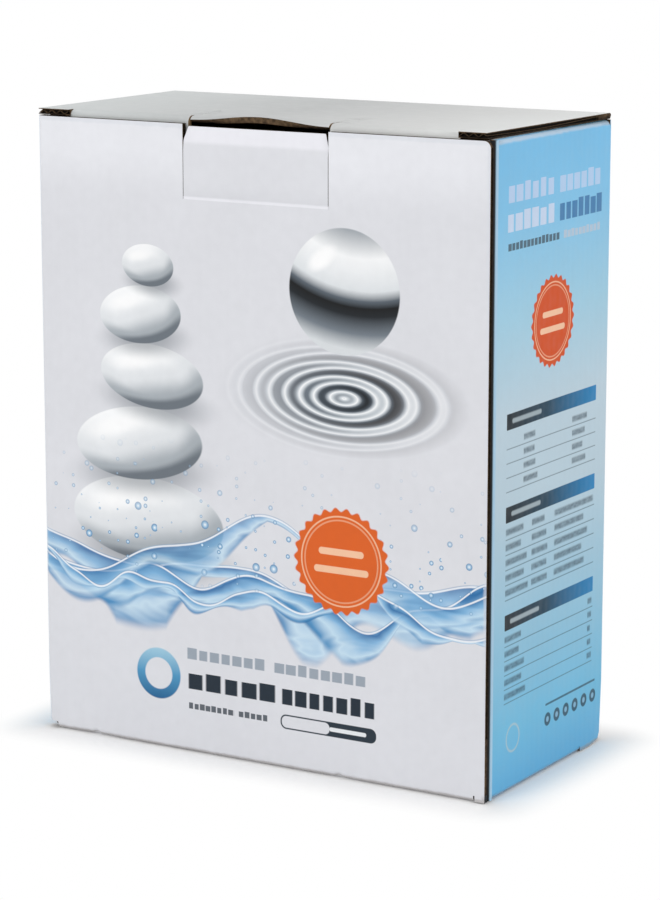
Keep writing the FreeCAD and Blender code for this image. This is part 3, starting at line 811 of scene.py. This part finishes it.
# For a point of a piece: the way out through the print, how deep it lies in the board, and
# which axis runs across the flutes.
def plyOf(node, point):
    x, y, z = point
    thickness, radius, panelTop = board["thickness"], board["bendRadius"], board["panelTop"]

    def rounded(arm, axis=0, reach=radius):
        return arm.normalized(), reach - arm.length, axis

    if node == "locking_tongue":
        return Vector((0, -1, 0)), y - low.y, 0
    if node == "top_lid":
        crease = 0.3 * mm - board["tuckCrease"]
        if y < crease and z > lidTop - 1.3 * radius and abs(x) < board["slitStart"]:
            return rounded(Vector((0, y + board["tuckCrease"], z - lidTop + radius)))
        if z > lidTop - thickness - 0.1 * mm and (y > crease or abs(x) > board["slitStart"]):
            return Vector((0, 0, 1)), lidTop - z, 0
        return rounded(Vector((0, y - high.y, z - lidTop)), 0, board["tuckRadius"])
    bendX, bendY = high.x - radius, high.y - radius
    outX = math.copysign(abs(x) - bendX, x)
    inX = abs(x) < high.x - thickness - hair
    if z > panelTop - radius and low.y + 2 * thickness < y < bendY:
        if inX:
            return Vector((0, 0, 1)), panelTop - z, 1
        if abs(x) > bendX - hair:
            return rounded(Vector((outX, 0, z - panelTop + radius)), 1)
    if z < board["bottomTop"] and inX and abs(y) < high.y - thickness - hair:
        return Vector((0, 0, -1)), thickness / 2, 0
    if z < radius:
        arm = Vector((max(0, abs(x) - bendX), max(0, abs(y) - bendY), radius - z))
        out = Vector((math.copysign(arm.x, x), math.copysign(arm.y, y), -arm.z))
        return out.normalized(), max(0, radius - arm.length), 0 if arm.y > arm.x else 1
    if x > -bendX and y < low.y + thickness + hair:
        return Vector((0, -1, 0)), y - low.y, 0
    frontBend = low.y + (radius if x < 0 else thickness + radius)
    if abs(x) > bendX and (y > bendY or y < frontBend):
        return rounded(Vector((outX, y - (bendY if y > 0 else frontBend), 0)))
    if y < low.y + 2 * thickness + hair and x > 0:
        return Vector((0, -1, 0)), y - low.y - thickness, 0
    if high.x - abs(x) < high.y - abs(y):
        return Vector((math.copysign(1, x), 0, 0)), high.x - abs(x), 1
    return Vector((0, math.copysign(1, y), 0)), high.y - abs(y), 0


# which paper a face of a piece shows
def paperOf(node, face):
    centre = face.calc_center_median()
    normal = face.normal
    out, _, _ = plyOf(node, centre - normal * 2 * hair)
    facing = normal.dot(out)
    inSlot = abs(centre.x) < board["slotHalf"] and centre.z > lidTop - board["lipReach"]
    if node == "top_lid" and inSlot and centre.y < -board["tuckCrease"]:
        facing = 1 if normal.z > 0.45 else 0 if normal.y < -0.3 else -1
    if abs(facing) < 0.3:
        return "edge"
    if facing < 0:
        return "kraft"
    if node == "top_lid":
        return "lid"
    if node == "locking_tongue":
        return "tongue"
    if normal.y < -0.7 and centre.y < low.y + 0.5 * mm:
        return "front"
    if abs(normal.x) > 0.15:
        return "right" if normal.x > 0 else "left"
    return "plain"


# small real unevenness of the walls and the lid, always inwards
wear = {
    "warpDepth": 0.35 * mm,
    "warpSize": 55 * mm,
    "warpMargin": 16 * mm,       # from the folds, where the walls stay true
    "warpTop": 165 * mm,         # below the slot, the tongue and the tuck flap
    "warpFoot": 14 * mm,         # above the bottom flaps
    "warpEase": 8 * mm,
    # centre, reach and depth of each dent
    "nicks": [((-61, -39.5, 0), 2.6, 1.0), ((29, -39.5, 0), 2.4, 0.9), ((-80, -39.5, 0), 4.5, 0.9),
              ((80, 39.5, 0), 5.0, 1.2), ((80, 39.5, 199.2), 2.5, 0.4)],
}


def wornPoint(node, point):
    place = Vector(point)
    for centre, reach, depth in wear["nicks"]:
        away = (place - Vector(centre) * mm).length / (reach * mm)
        if away < 1:
            inward = Vector((-math.copysign(1, centre[0]) if abs(centre[0]) > 79 else 0,
                             -math.copysign(0.6, centre[1]), 0.7 if centre[2] < 100 else -0.5))
            place += inward.normalized() * depth * mm * (1 - away * away) ** 2
    if node != "carton_body" or not wear["warpFoot"] < place.z < wear["warpTop"]:
        return place
    onSide = high.x - abs(place.x) < high.y - abs(place.y)
    along, reach = (place.y, high.y) if onSide else (place.x, high.x)
    ease = wear["warpEase"]
    clear = min(reach - abs(along), place.z - ease, wear["warpTop"] + ease - place.z)
    fade = max(0, min(1, (clear - wear["warpMargin"]) / wear["warpMargin"]))
    swell = noise.noise(Vector((place.x, place.y, place.z)) / wear["warpSize"] + Vector((7, 3, 5)))
    inset = wear["warpDepth"] * fade * fade * (3 - 2 * fade) * (0.5 + 0.5 * swell)
    if onSide:
        return place - Vector((math.copysign(inset, place.x), 0, 0))
    return place - Vector((0, math.copysign(inset, place.y), 0))


# what the flutes' path carries at each point
pathFields = {"across": "FLOAT", "ply": "FLOAT_VECTOR", "outward": "FLOAT_VECTOR"}


# Opens the flutes along a piece's cut edges: each strip of cut edge, from print to liner, keeps a
# rim of paper on both sides, and its middle sinks in. The middle lines that the flutes follow come
# back as a mesh, with the way out of the edge, the way out through the print, and the distance
# across the flutes.
def openFlutes(node, shape, names):
    rim = board["liner"]
    strips = {}
    for face in shape.faces:
        if names[face.material_index] != "edge" or len(face.verts) != 4:
            continue
        sides = {edge: names[other.material_index] for edge in face.edges
                 for other in edge.link_faces if other is not face}
        outer = [edge for edge, name in sides.items() if name not in ("edge", "kraft")]
        inner = [edge for edge, name in sides.items() if name == "kraft"]
        if len(outer) != 1 or len(inner) != 1 or set(outer[0].verts) & set(inner[0].verts):
            continue
        crossing = [edge for edge in face.edges if edge not in (outer[0], inner[0])]
        if all(abs(edge.calc_length() - board["thickness"]) < 0.12 * mm for edge in crossing):
            strips[face] = (set(outer[0].verts), crossing)
    splits = {}
    for outerVerts, crossing in strips.values():
        for edge in crossing:
            splits.setdefault(edge, next(v for v in edge.verts if v in outerVerts))
    middles, corners = {}, {}
    for edge, outer in splits.items():
        inner = edge.other_vert(outer)
        length = edge.calc_length()
        middles[edge] = ((outer.co + inner.co) / 2, (outer.co - inner.co).normalized())
        _, near = bmesh.utils.edge_split(edge, outer, rim / length)
        rest = next(e for e in near.link_edges if e.other_vert(near) is inner)
        _, far = bmesh.utils.edge_split(rest, inner, rim / (length - rim))
        corners[edge] = (near, far)
    hollows = []
    for face, (_, crossing) in strips.items():
        pairs = [corners[edge] for edge in crossing]
        normal = face.normal.copy()
        part, _ = bmesh.utils.face_split(face, pairs[0][0], pairs[1][0])
        keep = next(f for f in (face, part) if pairs[0][1] in f.verts)
        part, _ = bmesh.utils.face_split(keep, pairs[0][1], pairs[1][1])
        wanted = {pairs[0][0], pairs[0][1], pairs[1][0], pairs[1][1]}
        middle = next(f for f in (keep, part) if set(f.verts) == wanted)
        hollows.append((middle, crossing, normal))
    inward = {}
    for face, _, normal in hollows:
        for vert in face.verts:
            inward.setdefault(tuple(vert.co), []).append(normal)
    sunk = {item for face, _, _ in hollows for item in (face, *face.edges, *face.verts)}
    grown = bmesh.ops.extrude_face_region(shape, geom=list(sunk))["geom"]
    for item in grown:
        if isinstance(item, bmesh.types.BMFace):
            item.material_index = names.index("hollow")
        if isinstance(item, bmesh.types.BMVert):
            normals = inward[tuple(item.co)]
            total = sum(normals, Vector()).normalized()
            item.co -= total * board["openDepth"] / max(0.5, total.dot(normals[0]))
    points, lines, numbers = [], [], {}
    outs, plies, spans = [], [], []
    for _, crossing, normal in hollows:
        for edge in crossing:
            if edge not in numbers:
                middle, ply = middles[edge]
                numbers[edge] = len(points)
                points.append(middle)
                plies.append(ply)
                spans.append(middle[plyOf(node, middle)[2]] / board["flutePitch"])
                outs.append([])
            outs[numbers[edge]].append(normal)
        lines.append([numbers[edge] for edge in crossing])
    shape.normal_update()
    for index, normals in enumerate(outs):
        total = sum(normals, Vector()).normalized()
        outs[index] = total / max(0.5, total.dot(normals[0]))
        points[index] = points[index] - outs[index] * board["openDepth"]
    path = bpy.data.meshes.new("flutePath")
    path.from_pydata(points, lines, [])
    for (name, kind), values in zip(pathFields.items(), (spans, plies, outs)):
        attribute = path.attributes.new(name, kind, "POINT")
        for item, value in zip(attribute.data, values):
            setattr(item, "value" if kind == "FLOAT" else "vector", value)
    return path


# the fluting paper, as a wavy ribbon along each cut edge
flutes = {
    "step": 0.33 * mm,
    "swing": 0.5 * mm,
    "depth": 0.72 * mm,
    "paper": 0.16 * mm,
    "crush": 0.25,               # how unevenly the knife has pressed them, and the swells per metre
    "crushScale": 120.0,
    "seed": 4.0,
}


def fluteTree():
    tree = bpy.data.node_groups.new("fluting paper", "GeometryNodeTree")
    tree.interface.new_socket("Geometry", in_out="INPUT", socket_type="NodeSocketGeometry")
    for name in flutes:
        tree.interface.new_socket(name, in_out="INPUT", socket_type="NodeSocketFloat")
    tree.interface.new_socket("Geometry", in_out="OUTPUT", socket_type="NodeSocketGeometry")
    given = addNode(tree, "NodeGroupInput").outputs
    curve = addNode(tree, "GeometryNodeMeshToCurve", {"Mesh": given["Geometry"]})
    curve = addNode(tree, "GeometryNodeResampleCurve", {"Curve": curve, "Length": given["step"]},
                    mode="LENGTH")
    across, ply, outward = [
        addNode(tree, "GeometryNodeInputNamedAttribute", {"Name": name}, data_type=kind)
        for name, kind in pathFields.items()]
    wave = waveField(tree, across, 1)
    place = addNode(tree, "GeometryNodeInputPosition")
    crush = addNode(tree, "TexNoise", {"Vector": place, "W": given["seed"], "Scale": given["crushScale"],
                                       "Detail": 1.0}, noise_dimensions="4D")
    crush = addNode(tree, "Math", (crush, given["crush"]), operation="MULTIPLY")
    crush = addNode(tree, "Math", (1.0, crush), operation="SUBTRACT")
    swing = addNode(tree, "Math", (given["swing"], crush), operation="MULTIPLY")
    wave = addNode(tree, "Math", (wave, swing), operation="MULTIPLY")
    shift = addNode(tree, "VectorMath", {0: ply, "Scale": wave}, operation="SCALE")
    curve = addNode(tree, "GeometryNodeSetPosition", {"Geometry": curve, "Offset": shift})
    line = addNode(tree, "GeometryNodeCurveToMesh", {"Curve": curve})
    reach = addNode(tree, "VectorMath", {0: outward, "Scale": given["depth"]}, operation="SCALE")
    ribbon = addNode(tree, "GeometryNodeExtrudeMesh", {"Mesh": line, "Offset": reach, "Offset Scale": 1.0},
                     mode="EDGES")
    back = addNode(tree, "GeometryNodeFlipFaces", {"Mesh": ribbon})
    front = addNode(tree, "GeometryNodeExtrudeMesh", {"Mesh": ribbon, "Offset Scale": given["paper"],
                                                      "Individual": False}, mode="FACES")
    both = addNode(tree, "GeometryNodeJoinGeometry")
    tree.links.new(front.outputs["Mesh"], both.inputs[0])
    tree.links.new(back.outputs[0], both.inputs[0])
    whole = addNode(tree, "GeometryNodeMergeByDistance", {"Geometry": both, "Distance": 0.001 * mm})
    whole = addNode(tree, "GeometryNodeRealizeInstances", {"Geometry": whole})
    whole = addNode(tree, "GeometryNodeSetMaterial", {"Geometry": whole, "Material": materials["medium"]})
    addNode(tree, "NodeGroupOutput", whole)
    return tree


fluteNodes = fluteTree()


def addFlutes(path, piece, body):
    carrier = addObject(piece, path)
    modifier = carrier.modifiers.new("fluting paper", "NODES")
    modifier.node_group = fluteNodes
    for socket in fluteNodes.interface.items_tree:
        if socket.in_out == "INPUT" and socket.name in flutes:
            modifier[socket.identifier] = flutes[socket.name]
    depsgraph = bpy.context.evaluated_depsgraph_get()
    mesh = bpy.data.meshes.new_from_object(carrier.evaluated_get(depsgraph))
    carrier.modifiers.remove(modifier)
    carrier.data = mesh
    for name in pathFields:
        if name in mesh.attributes:
            mesh.attributes.remove(mesh.attributes[name])
    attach(carrier, body)
    print(piece, len(mesh.polygons), "faces")


def addPiece(piece, shape, papers):
    # the mesh operators leave the order to chance, so the points and faces are put in one order
    verts = sorted(shape.verts, key=lambda vert: tuple(vert.co))
    ranks = {vert: rank for rank, vert in enumerate(verts)}
    shape.verts.sort(key=ranks.get)
    faces = sorted(shape.faces, key=lambda face: sorted(ranks[vert] for vert in face.verts))
    ranks = {face: rank for rank, face in enumerate(faces)}
    shape.faces.sort(key=ranks.get)
    mesh = bpy.data.meshes.new(piece)
    shape.to_mesh(mesh)
    shape.free()
    for name in papers:
        mesh.materials.append(materials[name])
    made = addObject(piece, mesh)
    print(piece, len(mesh.polygons), "faces")
    return made


# A piece's mesh is its solid's, cleaned, cut on a grid, worn a little and given its papers.
def takeNode(node, piece, body, step, extraCuts=()):
    shape = bmesh.new()
    shape.from_mesh(frame["nodes"][node].data)
    bmesh.ops.remove_doubles(shape, verts=shape.verts, dist=2e-6)
    bmesh.ops.dissolve_limit(shape, angle_limit=math.radians(0.3), verts=shape.verts, edges=shape.edges)
    corners = [vert.co for vert in shape.verts]
    cuts = list(extraCuts)
    for axis, least in ((0, -1), (1, -1), (2, wear["warpFoot"])):
        first = max(least, min(co[axis] for co in corners))
        last = max(co[axis] for co in corners)
        steps = range(math.ceil(first / step), math.floor(last / step) + 1)
        cuts += [(axis, step * index) for index in steps]
    for axis, place in cuts:
        point, normal = [0, 0, 0], [0, 0, 0]
        point[axis], normal[axis] = place, 1
        bmesh.ops.bisect_plane(shape, geom=shape.verts[:] + shape.edges[:] + shape.faces[:],
                               dist=1e-6, plane_co=point, plane_no=normal)
    names = list(materials)
    for face in shape.faces:
        face.material_index = names.index(paperOf(node, face))
    path = openFlutes(node, shape, names)
    layer = shape.loops.layers.uv.new("board")
    for face in shape.faces:
        face.smooth = True
        _, _, axis = plyOf(node, face.calc_center_median() - face.normal * 2 * hair)
        for loop in face.loops:
            point = loop.vert.co
            loop[layer].uv = (point[axis] / board["flutePitch"], plyOf(node, point)[1] / board["thickness"])
    for vert in shape.verts:
        vert.co = wornPoint(node, vert.co)
    used = sorted({face.material_index for face in shape.faces})
    for face in shape.faces:
        face.material_index = used.index(face.material_index)
    made = addPiece(piece, shape, [names[index] for index in used])
    made.data.set_sharp_from_angle(angle=math.radians(25))
    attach(made, body)
    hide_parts(node)
    if len(path.edges):
        addFlutes(path, piece + "Flutes", body)


nickCuts = [(0, (centre + side) * mm) for centre in (-61, 29) for side in (-1.6, -0.8, 0, 0.8, 1.6)]
nickCuts += [(0, -78.6 * mm), (0, 78.6 * mm), (1, 37.6 * mm), (2, 2.6 * mm)]
takeNode("carton_body", "cartonBody", "carton", 10 * mm, nickCuts)
takeNode("top_lid", "topLid", "lid", 10 * mm)
takeNode("locking_tongue", "lockingTongue", "tongue", 5 * mm)


folds = {
    "paper": 0.1 * mm,
    "inset": 0.08 * mm,
    "hingeFrom": 78,             # degrees round the hinge's rounded corner
    "hingeTo": 12,
    "hingeSteps": 22,
    "bendFrom": 38,
    "bendTo": 52,
    "hingeHalf": 79.45 * mm,
    "scoreHalf": 0.43 * mm,
    "scoreDeep": 0.05 * mm,
    "tongueHalf": 25.6 * mm,
}


# A fold's outer paper, which runs on unbroken where the board bends: a thin strip just under the
# surface, seen only in the crease. Its section is a list of (half width, y, z).
def addFold(piece, section, paperName):
    shape = bmesh.new()
    layers = []
    for side in (-1, 1):
        layers.append([shape.verts.new((side * half, y, z)) for half, y, z in section])
    for index in range(len(section) - 1):
        shape.faces.new((layers[0][index], layers[1][index], layers[1][index + 1], layers[0][index + 1]))
    shape.normal_update()
    bmesh.ops.solidify(shape, geom=shape.faces[:], thickness=folds["paper"])
    bmesh.ops.recalc_face_normals(shape, faces=shape.faces[:])
    made = addPiece(piece, shape, [paperName])
    made.data.uv_layers.new(name="board", do_init=False)
    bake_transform(made)


# a point of the hinge's strip, whose ends follow the wall's rounded corners
def cornerPoint(degrees):
    bend = board["bendRadius"]
    out = (bend - folds["inset"]) * math.cos(math.radians(degrees))
    up = (bend - folds["inset"]) * math.sin(math.radians(degrees))
    half = min(folds["hingeHalf"], high.x - bend + math.sqrt(bend ** 2 - out ** 2) - 0.05 * mm)
    return half, high.y - bend + out, lidTop - bend + up


def scorePoint(share):
    return (folds["tongueHalf"], low.y + 0.03 * mm + folds["scoreDeep"] * (1 - share * share),
            tongueRoot + folds["scoreHalf"] * share)


hingeStep = (folds["hingeTo"] - folds["hingeFrom"]) / folds["hingeSteps"]
hingeSection = [cornerPoint(folds["hingeFrom"] + hingeStep * index)
                for index in range(folds["hingeSteps"] + 1)]
addFold("hingeFold", hingeSection, "plain")
addFold("tongueFold", [scorePoint(step / 4 - 1) for step in range(9)], "tongue")

bpy.context.scene.view_settings.view_transform = "Standard"
